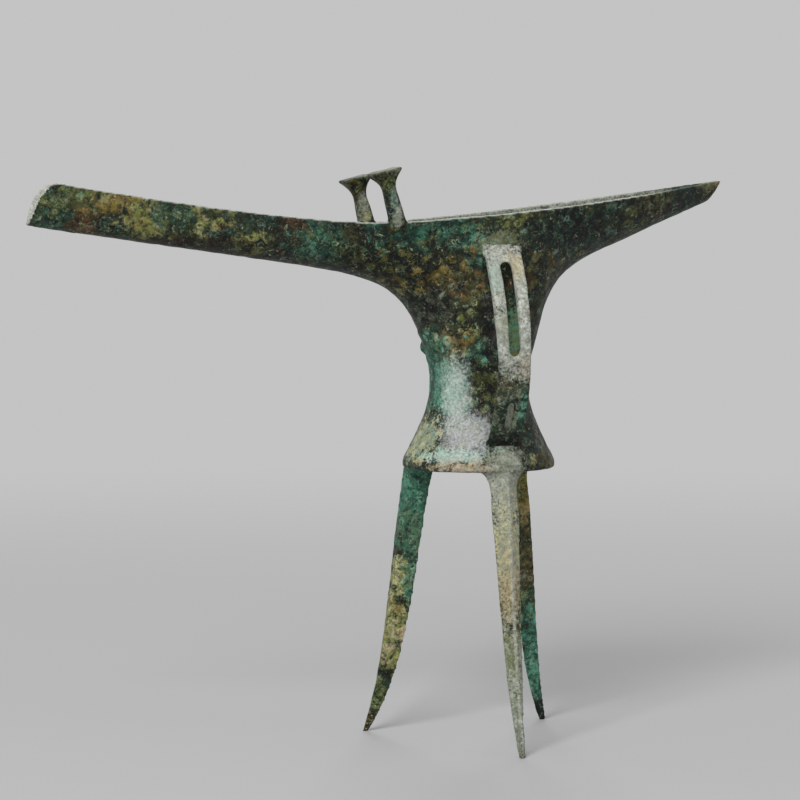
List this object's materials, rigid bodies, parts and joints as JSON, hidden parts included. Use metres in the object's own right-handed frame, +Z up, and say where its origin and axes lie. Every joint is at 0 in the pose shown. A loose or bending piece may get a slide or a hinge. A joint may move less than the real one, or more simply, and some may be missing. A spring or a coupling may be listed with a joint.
{
  "type": "bronze jue wine vessel",
  "caption": "Waisted flat-bottomed bronze jue with a long open spout, pointed tail, rim posts, slotted strap handle and ridged splayed legs, for warming and pouring wine.",
  "frame": {"origin": "on the floor, at the middle of the box around the whole vessel", "axes": "+X from the spout to the tail, -Y towards the handle, +Z up"},
  "size_m": [0.2852, 0.0776, 0.2257],
  "materials": {
    "bronze": "aged bronze with a mottled green, teal and ochre patina"
  },
  "bodies": {
    "root": {"base_plate": "bronze", "bosses": "bronze", "bowstring_lower": "bronze", "bowstring_upper": "bronze", "handle": "bronze", "leg_handle": "bronze", "leg_spout": "bronze", "leg_tail": "bronze", "lower_body": "bronze", "post_cap_far": "bronze", "post_cap_near": "bronze", "post_far": "bronze", "post_near": "bronze", "rim_lip_far": "bronze", "rim_lip_near": "bronze", "spout": "bronze", "spout_lip_far": "bronze", "spout_lip_near": "bronze", "tail": "bronze", "tail_lip_far": "bronze", "tail_lip_near": "bronze", "upper_body": "bronze"}
  },
  "joints": []
}
